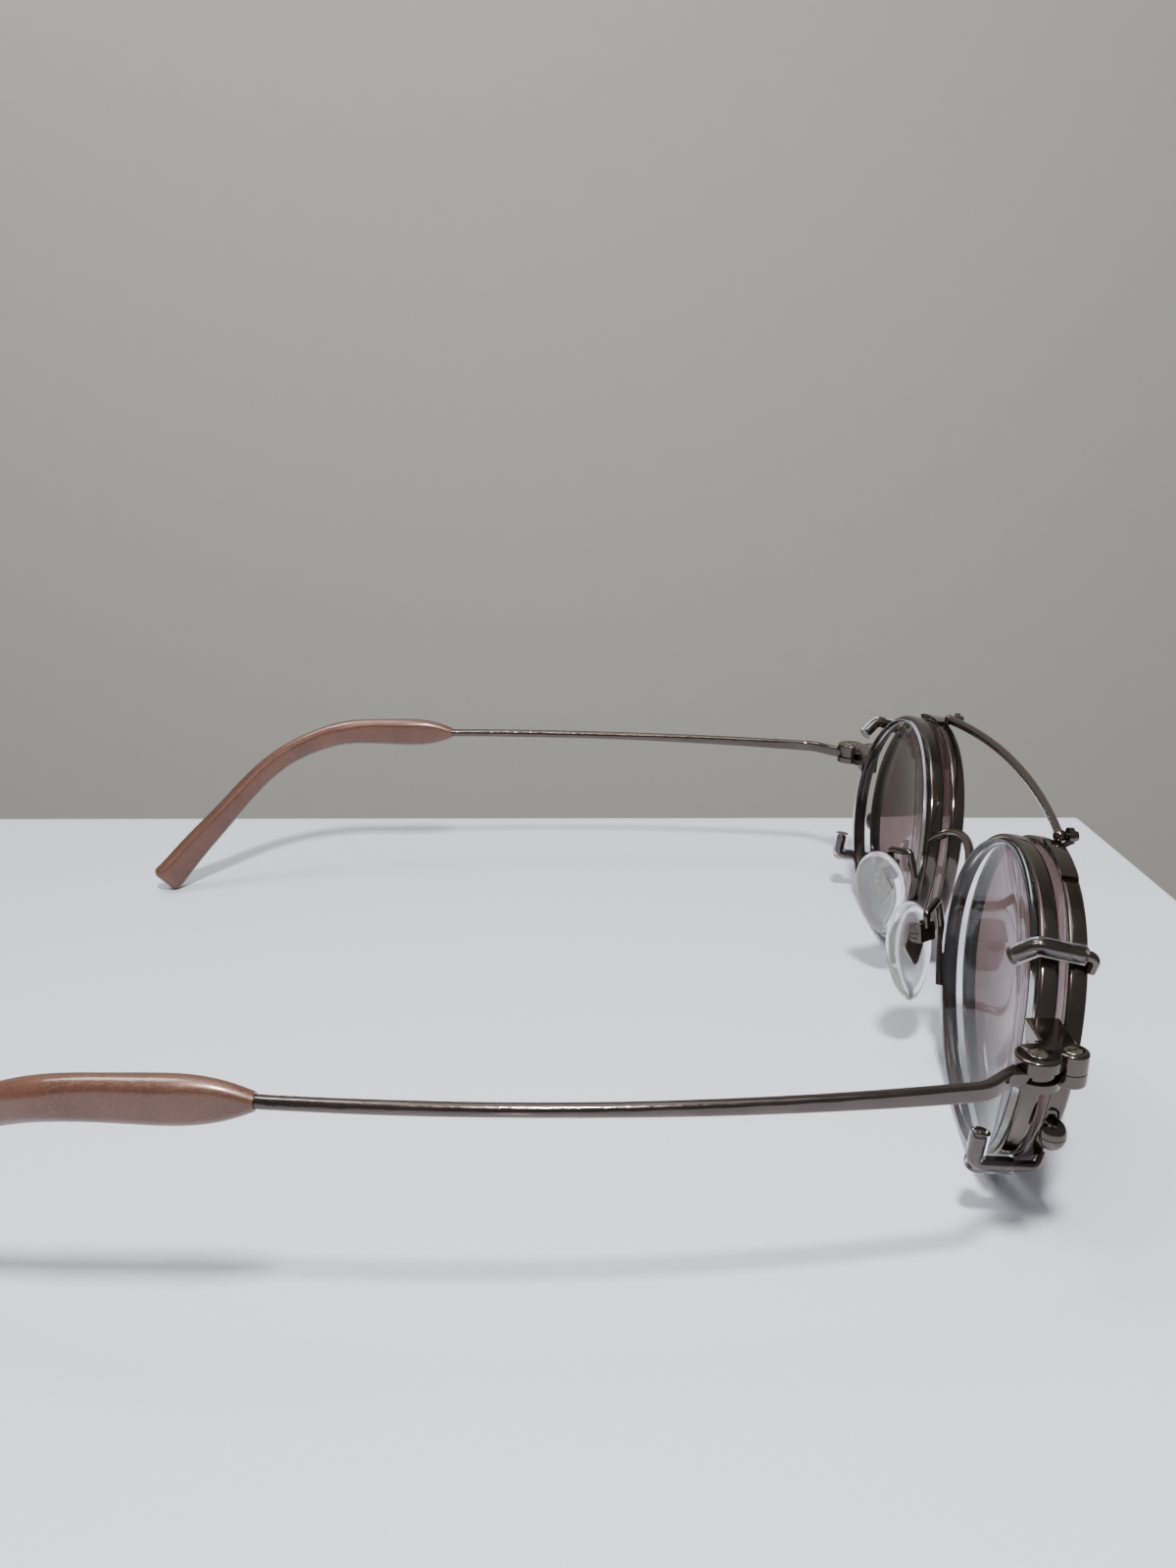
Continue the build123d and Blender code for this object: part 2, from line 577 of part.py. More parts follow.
def pad_arm(neighbours):
    lens = lens_location()
    back = -RIM_WIDTH / 2
    foot = oval_ring(EYE_HALF_WIDTH + 0.5, EYE_HALF_HEIGHT + 0.5, 1.3, back - FOOT_THICKNESS, back + 0.4)
    foot = lens * (foot & wedge(FOOT_FROM, FOOT_TO))
    low = oval_point(EYE_HALF_WIDTH, EYE_HALF_HEIGHT, FOOT_TO - 2, 0.0, back - FOOT_THICKNESS)
    rise = oval_point(EYE_HALF_WIDTH, EYE_HALF_HEIGHT, FOOT_FROM - 8, 0.2, back - FOOT_THICKNESS - 0.2)
    behind = PAD_AXIS_BACK + ARM_BEHIND_AXIS
    enter = at(pad_location(), (0.0, PAD_MOUNT_UP + 2.6, behind))
    end = at(pad_location(), (0.0, PAD_MOUNT_UP + BOX_HEIGHT / 2 - 0.6, behind))
    loop_top = at(lens, rise) + Vector(0.6, 0.9, 4.0)
    wire = tube(bent_wire([at(lens, low), at(lens, rise), loop_top, enter, end], 0.6), ARM_DIAMETER / 2)
    box = pad_location() * pad_box()
    arm = (wire - pad_location() * box_slot(2)) + box + foot
    return fitted(arm, neighbours)


# ---- clip bar, its pins and the tabs on the clip rims ----
def bar_end(side):
    return Vector(side * BAR_END_X, BAR_END_Y, BAR_END_Z)


def clip_bar():
    """Flat spring bar arched up and forward between the clip rims, with a ball at each end."""
    middle = (0, BAR_END_Y - BAR_FORWARD, BAR_END_Z + BAR_RISE)
    path = Wire([ThreePointArc(bar_end(-1), middle, bar_end(1))])
    outline = Ellipse(BAR_THICKNESS / 2, BAR_HEIGHT / 2)
    shares = evenly(0, 1, BAR_RUNS)
    bar = loft([across_plane(path @ share, path % share) * outline for share in shares])
    ball = Rotation(90, 0, 90) * Sphere(BALL_RADIUS)
    for side in (-1, 1):
        bar += Location(bar_end(side)) * ball
        bar -= Location(bar_end(side)) * Rotation(90, 0, 0) * Cylinder(PIN_RADIUS + THREAD_CLEARANCE, 6)
    return bar


def eyelet_middle():
    return BAR_END_Y - BALL_RADIUS - EYELET_GAP - EYELET_THICKNESS / 2


def bar_pin():
    """Headed pin: through the ball at the bar's end and the eyelet on the tab."""
    front = eyelet_middle() - EYELET_THICKNESS / 2 - EYELET_GAP
    back = BAR_END_Y + BALL_RADIUS * 0.6
    length = back - front
    turned = Rotation(90, 0, 0)
    shank = Pos(BAR_END_X, back - length / 2, BAR_END_Z) * turned * Cylinder(PIN_RADIUS, length)
    head = Pos(BAR_END_X, front - 0.25, BAR_END_Z) * turned * Cylinder(PIN_HEAD, 0.5)
    head = fillet(head.edges().sort_by(Axis.Y)[0], radius=0.2)
    return shank + head


def clip_tab(neighbours):
    """Leaf soldered along the clip rim's top, with the eyelet that hangs on the pin."""
    half = TAB_WIDTH / 2
    outer_x = CLIP_HALF_WIDTH + TAB_THICKNESS
    outer_y = CLIP_HALF_HEIGHT + TAB_THICKNESS
    leaf = oval_ring(outer_x, outer_y, TAB_THICKNESS + RIM_ROUNDING, -half, half)
    leaf = clip_location() * (leaf & wedge(TAB_FROM, TAB_TO))
    turned = Rotation(90, 0, 0)
    hub = Pos(BAR_END_X, eyelet_middle(), BAR_END_Z) * turned
    eyelet = hub * Cylinder(EYELET_RADIUS, EYELET_THICKNESS)
    root = oval_point(CLIP_HALF_WIDTH, CLIP_HALF_HEIGHT, TAB_TO - 6, 0.2, 0.8 * half)
    root_at = at(clip_location(), root)
    path = Wire([Line((BAR_END_X + 0.6, eyelet_middle(), BAR_END_Z - 0.5), root_at)])
    link = tube(path, TAB_LINK)
    hole = hub * Cylinder(PIN_RADIUS + 0.08, 4)
    ball_room = Location(bar_end(1)) * Sphere(BALL_RADIUS + EYELET_GAP)
    return fitted(leaf + eyelet + link - hole - ball_room, neighbours)


# ---- clip closing block ----
def lock_point():
    seam = oval_point(CLIP_HALF_WIDTH, CLIP_HALF_HEIGHT, CLIP_LOCK_ANGLE, 1.25, 0.45)
    return at(clip_location(), seam)


def clip_lock(neighbours):
    """Egg-shaped block that pulls the clip rim's two ends together."""
    centre = lock_point()
    bead = Cylinder(LOCK_RADIUS, LOCK_HEIGHT)
    bead = fillet(bead.edges().sort_by(Axis.Z)[-1], radius=0.5)
    bead = fillet(bead.edges().sort_by(Axis.Z)[0], radius=1.1)
    bead -= Box(6, 6, RIM_GAP)
    top = LOCK_HEIGHT / 2
    bead -= Pos(0, 0, top) * screw_hole(LOCK_SCREW, 2.8, THREAD_CLEARANCE, LOCK_SCREW_HEAD)
    neck = Pos(-0.6, 0.1, top + 0.45) * Box(1.4, 1.5, 1.6)
    neck = fillet(neck.edges().filter_by(Axis.Z), radius=0.4)
    neck -= Pos(0, 0, top) * Cylinder(LOCK_NECK_ROOM, 4)
    return fitted(Location(centre) * (bead + neck), neighbours)


def clip_lock_screw():
    screw = slotted_screw(LOCK_SCREW, 2.7, LOCK_SCREW_HEAD)
    return Location(lock_point()) * Pos(0, 0, LOCK_HEIGHT / 2) * screw


# ---- clip hooks with clear sleeves ----
def upper_hook_path():
    root = at(clip_location(), oval_point(CLIP_HALF_WIDTH, CLIP_HALF_HEIGHT, 43, -0.2, 1.2))
    corner = at(clip_location(), oval_point(CLIP_HALF_WIDTH, CLIP_HALF_HEIGHT, 46, 1.5, 1.8))
    over = at(lens_location(), oval_point(EYE_HALF_WIDTH, EYE_HALF_HEIGHT, 48, 1.85, -1.2))
    tip_end = at(lens_location(), oval_point(EYE_HALF_WIDTH, EYE_HALF_HEIGHT, 46.5, -0.05, -3.45))
    return [root, corner, over, tip_end]


def lower_hook_path():
    root = at(clip_location(), oval_point(CLIP_HALF_WIDTH, CLIP_HALF_HEIGHT, 331, -0.1, 0.4))
    corner = at(clip_location(), oval_point(CLIP_HALF_WIDTH, CLIP_HALF_HEIGHT, 330, 1.6, 0.3))
    back = at(lens_location(), oval_point(EYE_HALF_WIDTH, EYE_HALF_HEIGHT, 330, 1.6, -3.3))
    tip_end = at(lens_location(), oval_point(EYE_HALF_WIDTH, EYE_HALF_HEIGHT, 338, -0.3, -3.75))
    return [root, corner, back, tip_end]


def hook(points, neighbours):
    wire = tube(bent_wire(points, HOOK_BEND), HOOK_DIAMETER / 2)
    wire += Location(points[-1]) * Sphere(HOOK_DIAMETER / 2)
    return fitted(wire, neighbours)


def sleeve(points, start_share):
    """Clear tube over the hook, from part way along its second run to past its end."""
    start = points[1] + (points[2] - points[1]) * start_share
    last = (points[3] - points[2]).normalized()
    path = bent_wire([start, points[2], points[3] + last * SLEEVE_PAST_END], HOOK_BEND)
    inner = HOOK_DIAMETER / 2 + SLEEVE_CLEARANCE
    return tube(path, inner + SLEEVE_WALL, inner)


# ---- assembly ----
def left_pieces():
    """Every piece of the wearer's left side, in assembly axes."""
    band = lens_location() * rim_band(EYE_HALF_WIDTH, EYE_HALF_HEIGHT)
    clip_band = clip_location() * rim_band(CLIP_HALF_WIDTH, CLIP_HALF_HEIGHT)
    core = pad_core()
    upper = upper_hook_path()
    lower = lower_hook_path()
    return {
        "rim": rim(),
        "demo_lens": demo_lens(),
        "top_plate": top_plate([rim_space()]),
        "bottom_plate": bottom_plate([rim_space()]),
        "hinge_screw": hinge_screw(),
        "closing_screw": closing_screw(),
        "temple": temple(),
        "temple_tip": tip(),
        "pad_arm": pad_arm([band, lens_body_space()]),
        "pad_screw": pad_screw(),
        "pad_core": core,
        "nose_pad": nose_pad(core),
        "clip_rim": clip_rim(),
        "tinted_lens": tinted_lens(),
        "clip_tab": clip_tab([clip_band]),
        "bar_pin": bar_pin(),
        "clip_lock": clip_lock([clip_band]),
        "clip_lock_screw": clip_lock_screw(),
        "upper_hook": hook(upper, [clip_band]),
        "upper_sleeve": sleeve(upper, UPPER_SLEEVE_START),
        "lower_hook": hook(lower, [clip_band]),
        "lower_sleeve": sleeve(lower, LOWER_SLEEVE_START),
    }


def all_pieces():
    pieces = {}
    for name, shape in left_pieces().items():
        pieces["left_" + name] = shape
        pieces["right_" + name] = mirror(shape, about=Plane.YZ)
    left_side = [lens_location() * rim_band(EYE_HALF_WIDTH, EYE_HALF_HEIGHT), lens_space()]
    right_side = [mirror(shape, about=Plane.YZ) for shape in left_side]
    pieces["bridge"] = bridge(left_side + right_side)
    pieces["clip_bar"] = clip_bar()
    return pieces


def resting_lean(front_piece, tip_piece):
    """Degrees of lean at which the clip rim and the temple tip stand at the same height."""
    low = 0.0
    high = 12.0
    for _ in range(14):
        middle = (low + high) / 2
        lean = Rotation(middle, 0, 0)
        if (lean * tip_piece).bounding_box().min.Z < (lean * front_piece).bounding_box().min.Z:
            low = middle
        else:
            high = middle
    return (low + high) / 2


def rest_move(pieces):
    """Lean the frame back on the table, centre it front to back and set it on z = 0."""
    lean = Rotation(resting_lean(pieces["left_clip_rim"], pieces["left_temple_tip"]), 0, 0)
    boxes = [(lean * shape).bounding_box() for shape in pieces.values()]
    front = min(box.min.Y for box in boxes)
    back = max(box.max.Y for box in boxes)
    floor = min(box.min.Z for box in boxes)
    return Pos(0, -(front + back) / 2, -floor) * lean


def main():
    os.makedirs("parts", exist_ok=True)
    pieces = all_pieces()
    place = rest_move(pieces)
    for name, shape in pieces.items():
        export_step(place * shape, "parts/" + name + ".step")


if __name__ == "__main__":
    main()
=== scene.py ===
import json
from math import atan2, cos, pi, radians, sin, sqrt

import bmesh
import bpy
from mathutils import Euler, Matrix, Vector

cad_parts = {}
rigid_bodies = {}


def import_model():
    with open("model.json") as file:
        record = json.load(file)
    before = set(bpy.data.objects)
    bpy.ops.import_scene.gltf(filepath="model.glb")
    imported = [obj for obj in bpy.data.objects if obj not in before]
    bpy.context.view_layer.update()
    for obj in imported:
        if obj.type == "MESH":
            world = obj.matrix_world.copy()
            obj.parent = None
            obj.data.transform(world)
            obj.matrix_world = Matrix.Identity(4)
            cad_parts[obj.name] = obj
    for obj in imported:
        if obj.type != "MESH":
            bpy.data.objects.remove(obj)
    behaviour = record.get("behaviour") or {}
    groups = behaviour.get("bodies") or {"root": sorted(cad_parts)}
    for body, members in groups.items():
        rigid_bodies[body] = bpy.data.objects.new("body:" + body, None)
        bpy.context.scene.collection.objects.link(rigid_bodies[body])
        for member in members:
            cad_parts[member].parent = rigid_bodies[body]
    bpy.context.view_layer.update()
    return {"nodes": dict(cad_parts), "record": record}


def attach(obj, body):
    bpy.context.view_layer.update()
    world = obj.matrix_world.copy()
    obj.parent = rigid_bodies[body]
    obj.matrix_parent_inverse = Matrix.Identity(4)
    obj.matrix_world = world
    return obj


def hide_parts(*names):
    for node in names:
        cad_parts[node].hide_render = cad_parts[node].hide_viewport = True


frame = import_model()

bl_info = {
    "name": "Oval spectacles with clip-on",
    "version": (1, 0, 0),
    "blender": (4, 5, 0),
    "location": "3D View > Sidebar > Spectacles",
    "description": "Builds the metal frame, its clip-on lenses and the table they rest on",
    "category": "Add Mesh",
}

SIDES = (("left", 1), ("right", -1))
MM = 0.001
SMOOTH_ANGLE = radians(32)
MERGE_DISTANCE = 2e-7  # metres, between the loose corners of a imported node
SAME_HEIGHT = 1e-4
RING_STEPS = 160
RING_RADIUS = 100  # of a band's ring, before it is drawn to its oval
LENS_RADIUS = 68.0
LENS_CENTRE = (31.4, -6.75, -5.2)
OVAL_LEAN = radians(6.1)
CLIP_SHIFT = (-0.38, 0.24, 3.12)  # across, up and forward of the main lens
PAD_CENTRE = (10.9, 2.4, -8.8)
PAD_TOP_HALF_WIDTH = 4.35
PAD_FOOT_HALF_WIDTH = 2.75
PAD_HALF_HEIGHT = 7.0
SLEEVE_RADIUS = 1.1
SLEEVE_BEND = 0.75
SLEEVE_PAST_END = 0.7
DEMO_LENS_FACES = (-1.9, 0.25)  # back and front, from the lens curve
TINTED_LENS_FACES = (-0.7, 0.3)
TABLE_CORNERS = ((-0.9, -0.165), (0.0916, -0.1135), (0.128, 0.65), (-0.9, 0.65))
TABLE_THICKNESS = 0.03
WALL_DISTANCE = 0.75
PLATING = "dark_bronze_plating"
COATED_LENS = 1.16  # refractive index that gives the weak reflections of coated faces
CAMERA_PLACE = (-178.63, 41.17, 64.70)  # in the drawing axes, millimetres
CAMERA_TURN = (73.265, -0.514, -87.998)  # in the drawing axes, degrees


def both_sides(*parts):
    return [side + "_" + part for side, _ in SIDES for part in parts]


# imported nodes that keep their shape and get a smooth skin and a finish
DARK_METAL = ["bridge", "clip_bar"] + both_sides(
    "top_plate", "bottom_plate", "temple", "pad_arm", "clip_tab", "bar_pin", "upper_hook", "lower_hook")
BRIGHT_SCREWS = both_sides("hinge_screw", "closing_screw")
SMALL_SCREWS = both_sides("pad_screw", "clip_lock_screw")
PAD_INSERTS = both_sides("pad_core")
TIPS = both_sides("temple_tip")


# ---- sizes and colours a user may change ----
class SpectacleSizes(bpy.types.PropertyGroup):
    eye_half_width: bpy.props.FloatProperty(
        name="Rim half width", description="Outer half width of a front rim, in millimetres",
        default=22.1, unit="NONE")
    eye_half_height: bpy.props.FloatProperty(
        name="Rim half height", description="Outer half height of a front rim, in millimetres",
        default=18.6, unit="NONE")
    clip_half_width: bpy.props.FloatProperty(
        name="Clip half width", description="Outer half width of a clip rim, in millimetres",
        default=21.9, unit="NONE")
    clip_half_height: bpy.props.FloatProperty(
        name="Clip half height", description="Outer half height of a clip rim, in millimetres",
        default=18.5, unit="NONE")
    lens_radius: bpy.props.FloatProperty(
        name="Lens curve", description="Radius that rims and lenses are bent to, in millimetres",
        default=LENS_RADIUS, unit="NONE")
    rim_width: bpy.props.FloatProperty(
        name="Rim depth", description="Rim size from front to back, in millimetres",
        default=2.04, unit="NONE")
    rim_thickness: bpy.props.FloatProperty(
        name="Rim thickness", description="Rim size in the plane of the lens, in millimetres",
        default=0.8, unit="NONE")
    rim_rounding: bpy.props.FloatProperty(
        name="Rim rounding", description="Radius on the rim's outer edges, in millimetres",
        default=0.52, unit="NONE")


class SpectacleColours(bpy.types.PropertyGroup):
    bronze: bpy.props.FloatVectorProperty(
        name="Plating", description="Dark bronze plating", subtype="COLOR", size=3,
        default=(0.050, 0.036, 0.031), min=0, max=1)
    bronze_light: bpy.props.FloatVectorProperty(
        name="Worn plating", description="Plating where it is rubbed", subtype="COLOR", size=3,
        default=(0.072, 0.052, 0.044), min=0, max=1)
    screw: bpy.props.FloatVectorProperty(
        name="Screws", description="Bare metal of the hinge screws", subtype="COLOR", size=3,
        default=(0.36, 0.32, 0.26), min=0, max=1)
    tint: bpy.props.FloatVectorProperty(
        name="Tint", description="Colour of the clip-on lenses", subtype="COLOR", size=3,
        default=(0.17, 0.11, 0.108), min=0, max=1)
    tip: bpy.props.FloatVectorProperty(
        name="Temple tips", description="Pearly copper brown plastic", subtype="COLOR", size=3,
        default=(0.064, 0.027, 0.017), min=0, max=1)
    table: bpy.props.FloatVectorProperty(
        name="Table", description="Pale table top", subtype="COLOR", size=3,
        default=(0.51, 0.53, 0.60), min=0, max=1)
    wall: bpy.props.FloatVectorProperty(
        name="Wall", description="Plain wall behind the table", subtype="COLOR", size=3,
        default=(0.47, 0.455, 0.42), min=0, max=1)


# ---- placing ----
def resting_place():
    """Turn and shift from the frame's own drawing axes, in millimetres, to the resting frame in metres."""
    joint = next(j for j in frame["record"]["behaviour"]["joints"] if j["name"] == "left_temple_fold")
    x, y, z = joint["pos_m"]
    lean = atan2(-joint["axis"][1], joint["axis"][2])
    return Matrix.Translation((0, y, z)) @ Matrix.Rotation(lean, 4, "X") @ Matrix.Scale(MM, 4)


def lens_plane():
    """Left lens: x to the temple, y up, z forward, turned with the oval's lean."""
    wrap, tilt = radians(2.8), radians(5.65)
    across = Vector((cos(wrap), sin(wrap) * cos(tilt), sin(wrap) * sin(tilt)))
    forward = Vector((sin(wrap), -cos(wrap) * cos(tilt), -cos(wrap) * sin(tilt)))
    up = forward.cross(across)
    turn = Matrix((across, up, forward)).transposed().to_4x4()
    return Matrix.Translation(LENS_CENTRE) @ turn @ Matrix.Rotation(-OVAL_LEAN, 4, "Z")


def clip_plane():
    """Left clip lens, in front of the main one."""
    across, up, forward = CLIP_SHIFT
    shift_x = across * cos(OVAL_LEAN) - up * sin(OVAL_LEAN)
    shift_y = across * sin(OVAL_LEAN) + up * cos(OVAL_LEAN)
    return lens_plane() @ Matrix.Translation((shift_x, shift_y, forward))


def pad_plane():
    """Left nose pad: x across it to the back, y up, z from the pad to its arm."""
    splay, flare = radians(36.5), radians(9.0)
    outward = Vector((cos(splay) * cos(flare), -sin(splay) * cos(flare), sin(flare)))
    chord = Vector((sin(splay), cos(splay), 0))
    turn = Matrix((chord, outward.cross(chord), outward)).transposed().to_4x4()
    return Matrix.Translation(PAD_CENTRE) @ turn


def on_side(sign):
    """The place of a left piece, or of its mirror image on the right."""
    return resting_place() @ Matrix.Diagonal((sign, 1, 1, 1))


# ---- meshes ----
def body_of_node(node):
    bodies = frame["record"]["behaviour"]["bodies"]
    return next(body for body, nodes in bodies.items() if node in nodes)


def finished_object(bm, node, ending, materials):
    """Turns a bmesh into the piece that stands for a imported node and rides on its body."""
    name = node + ending
    mesh = bpy.data.meshes.new(name)
    bm.to_mesh(mesh)
    bm.free()
    for material in materials:
        mesh.materials.append(material)
    piece = bpy.data.objects.new(name, mesh)
    bpy.context.scene.collection.objects.link(piece)
    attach(piece, body_of_node(node))
    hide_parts(node)
    return piece


def shade(bm, sharp_angle):
    """Smooth faces, with the true corners kept sharp."""
    for face in bm.faces:
        face.smooth = True
    for edge in bm.edges:
        if edge.is_manifold and edge.calc_face_angle(0) > sharp_angle:
            edge.smooth = False


def spun(profile, closed):
    """Profile points (radius, height) turned once round Z."""
    bm = bmesh.new()
    points = [bm.verts.new((radius, 0, height)) for radius, height in profile]
    edges = [bm.edges.new(pair) for pair in zip(points, points[1:])]
    if closed:
        edges.append(bm.edges.new((points[-1], points[0])))
    bmesh.ops.spin(
        bm, geom=points + edges, cent=(0, 0, 0), axis=(0, 0, 1), angle=2 * pi,
        steps=RING_STEPS, use_merge=True, use_normal_flip=False, use_duplicate=False)
    bmesh.ops.remove_doubles(bm, verts=bm.verts, dist=1e-5)
    return bm


def rounded(bm, edges, radius, segments, material=-1):
    bmesh.ops.bevel(
        bm, geom=edges, offset=radius, offset_type="OFFSET", segments=segments, profile=0.5,
        affect="EDGES", material=material)


def level(edge):
    return abs(edge.verts[0].co.z - edge.verts[1].co.z) < SAME_HEIGHT


def seat(bm, place):
    """Moves a shape to its place and points its faces outwards."""
    bmesh.ops.transform(bm, matrix=place, verts=bm.verts)
    bmesh.ops.recalc_face_normals(bm, faces=bm.faces)


def on_lens_curve(x, y, forward, lens_radius):
    """Point in front of the lens curve by the given amount."""
    reach = lens_radius + forward
    return Vector((x, y, sqrt(reach * reach - x * x - y * y) - lens_radius))


def rim_band(sizes, half_width, half_height, place):
    """Domed band bent to the lens curve, with a shallow lens groove inside."""
    half = sizes.rim_width / 2
    inner = -sizes.rim_thickness
    groove = 0.3
    middle = -0.2
    profile = [
        (0, -half), (0, half), (inner, half), (inner, middle + groove), (inner + groove, middle),
        (inner, middle - groove), (inner, -half),
    ]
    bm = spun([(RING_RADIUS + r, z) for r, z in profile], closed=True)
    just_inside, well_inside = RING_RADIUS - 0.1, RING_RADIUS - 0.75
    outer = [e for e in bm.edges
             if all(v.co.xy.length > just_inside for v in e.verts) and level(e)]
    rounded(bm, outer, sizes.rim_rounding, 6)
    inner_edges = [
        e for e in bm.edges
        if all(v.co.xy.length < well_inside and abs(abs(v.co.z) - half) < SAME_HEIGHT for v in e.verts)]
    rounded(bm, inner_edges, 0.08, 2)
    for vert in bm.verts:
        inward = vert.co.xy.length - RING_RADIUS
        angle = atan2(vert.co.y, vert.co.x)
        x = (half_width + inward) * cos(angle)
        y = (half_height + inward) * sin(angle)
        vert.co = on_lens_curve(x, y, vert.co.z, sizes.lens_radius)
    seat(bm, place)
    shade(bm, SMOOTH_ANGLE)
    return bm


def lens_body(sizes, half_width, half_height, back, front, place):
    """Curved lens with polished faces and a ground edge."""
    steps = 22
    profile = [(n / steps, front) for n in range(steps + 1)]
    profile += [(n / steps, back) for n in range(steps, -1, -1)]
    bm = spun(profile, closed=False)
    at_edge = 0.999
    walls = [f for f in bm.faces if all(v.co.xy.length > at_edge for v in f.verts)]
    for face in walls:
        face.material_index = 1
    rims = [e for e in bm.edges if all(v.co.xy.length > at_edge for v in e.verts) and level(e)]
    for vert in bm.verts:
        vert.co = on_lens_curve(
            vert.co.x * half_width, vert.co.y * half_height, vert.co.z, sizes.lens_radius)
    rounded(bm, rims, 0.14, 2, material=1)
    seat(bm, place)
    shade(bm, SMOOTH_ANGLE)
    return bm


def teardrop_pad(place):
    """Soft crowned pad, wide at the top and narrow at the bottom."""
    profile = [
        (0.0, -1.13), (0.3, -1.12), (0.55, -1.06), (0.75, -0.93), (0.9, -0.66), (0.98, -0.28),
        (1.0, 0.1), (0.975, 0.45), (0.9, 0.74), (0.78, 0.92), (0.6, 1.02), (0.3, 1.06), (0.0, 1.07),
    ]
    bm = spun(profile, closed=False)
    for vert in bm.verts:
        height = vert.co.y
        share = 0.5 + height / 2
        widening = (PAD_TOP_HALF_WIDTH - PAD_FOOT_HALF_WIDTH) * share * (2 - share)
        vert.co.x *= (PAD_FOOT_HALF_WIDTH + widening) * 1.04
        vert.co.y = PAD_HALF_HEIGHT * height - 0.02
    seat(bm, place)
    shade(bm, radians(60))
    return bm


def oval_point(half_width, half_height, angle, out, forward):
    """Point by an oval's edge, moved outward and forward along the lens curve."""
    x = (half_width + out) * cos(radians(angle))
    y = (half_height + out) * sin(radians(angle))
    return Vector((x, y, forward - (x * x + y * y) / (2 * LENS_RADIUS)))


def sleeve_route(corner, over, end, start_share):
    """Part of a hook that its sleeve covers: a run, a tight bend and a run past the wire's end."""
    start = corner + (over - corner) * start_share
    first = (over - corner).normalized()
    last = (end - over).normalized()
    return [
        start, over - first * SLEEVE_BEND, over, over + last * SLEEVE_BEND,
        end + last * SLEEVE_PAST_END,
    ]


def upper_sleeve_route(sizes):
    corner = clip_plane() @ oval_point(sizes.clip_half_width, sizes.clip_half_height, 46, 1.5, 1.8)
    over = lens_plane() @ oval_point(sizes.eye_half_width, sizes.eye_half_height, 48, 1.85, -1.2)
    end = lens_plane() @ oval_point(sizes.eye_half_width, sizes.eye_half_height, 46.5, -0.05, -3.45)
    return sleeve_route(corner, over, end, 0.2)


def lower_sleeve_route(sizes):
    corner = clip_plane() @ oval_point(sizes.clip_half_width, sizes.clip_half_height, 330, 1.6, 0.3)
    over = lens_plane() @ oval_point(sizes.eye_half_width, sizes.eye_half_height, 330, 1.6, -3.3)
    end = lens_plane() @ oval_point(sizes.eye_half_width, sizes.eye_half_height, 338, -0.3, -3.75)
    return sleeve_route(corner, over, end, 0.38)


def soft_rod(route, radius, place):
    """Round rod along a smooth line, closed at both ends."""
    curve = bpy.data.curves.new("route", "CURVE")
    curve.dimensions = "3D"
    curve.bevel_depth = radius
    curve.bevel_resolution = 8
    curve.use_fill_caps = True
    spline = curve.splines.new("NURBS")
    spline.points.add(len(route) - 1)
    for point, target in zip(spline.points, route):
        point.co = (*target, 1)
    spline.order_u = 3
    spline.use_endpoint_u = True
    spline.resolution_u = 12
    holder = bpy.data.objects.new("route", curve)
    mesh = bpy.data.meshes.new_from_object(holder)
    bm = bmesh.new()
    bm.from_mesh(mesh)
    for leftover, store in ((holder, bpy.data.objects), (curve, bpy.data.curves), (mesh, bpy.data.meshes)):
        store.remove(leftover)
    bmesh.ops.remove_doubles(bm, verts=bm.verts, dist=1e-4)
    seat(bm, place)
    shade(bm, SMOOTH_ANGLE)
    return bm


def closing_egg(place):
    """Egg with a saw cut round its middle and a small neck that joins the rim."""
    profile = [
        (0, -1.65), (0.35, -1.6), (0.7, -1.46), (1.02, -1.2), (1.26, -0.86), (1.42, -0.45), (1.47, -0.05),
        (1.1, -0.05), (1.1, 0.05), (1.47, 0.05), (1.46, 0.45), (1.37, 0.85), (1.22, 1.2), (1.02, 1.48),
        (0.86, 1.6), (0, 1.6),
    ]
    bm = spun(profile, closed=False)
    neck = bmesh.ops.create_cube(bm, size=1)["verts"]
    bmesh.ops.scale(bm, vec=(0.8, 1.3, 1.5), verts=neck)
    bmesh.ops.translate(bm, vec=(-0.95, 0.1, 2.15), verts=neck)
    edges = list({edge for vert in neck for edge in vert.link_edges})
    rounded(bm, edges, 0.3, 4)
    seat(bm, place)
    shade(bm, radians(40))
    return bm


def smooth_skin(node, sharp_angle=SMOOTH_ANGLE):
    """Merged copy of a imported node, shaded smooth between its true corners."""
    bm = bmesh.new()
    bm.from_mesh(frame["nodes"][node].data)
    bmesh.ops.remove_doubles(bm, verts=bm.verts, dist=MERGE_DISTANCE)
    shade(bm, sharp_angle)
    return bm


# ---- finishes ----
def new_finish(name):
    """Material with its main shader, object coordinates and a builder for nodes."""
    material = bpy.data.materials.new(name)
    material.use_nodes = True
    tree = material.node_tree
    shader = tree.nodes["Principled BSDF"]
    coordinates = tree.nodes.new("ShaderNodeTexCoord")
    return material, tree, shader, coordinates.outputs["Object"]


def noise(tree, vector, scale, detail=3.0, stretch=None):
    node = tree.nodes.new("ShaderNodeTexNoise")
    node.inputs["Scale"].default_value = scale
    node.inputs["Detail"].default_value = detail
    if stretch:
        mapping = tree.nodes.new("ShaderNodeMapping")
        mapping.inputs["Scale"].default_value = stretch
        tree.links.new(vector, mapping.inputs["Vector"])
        vector = mapping.outputs["Vector"]
    tree.links.new(vector, node.inputs["Vector"])
    return node.outputs["Fac"]


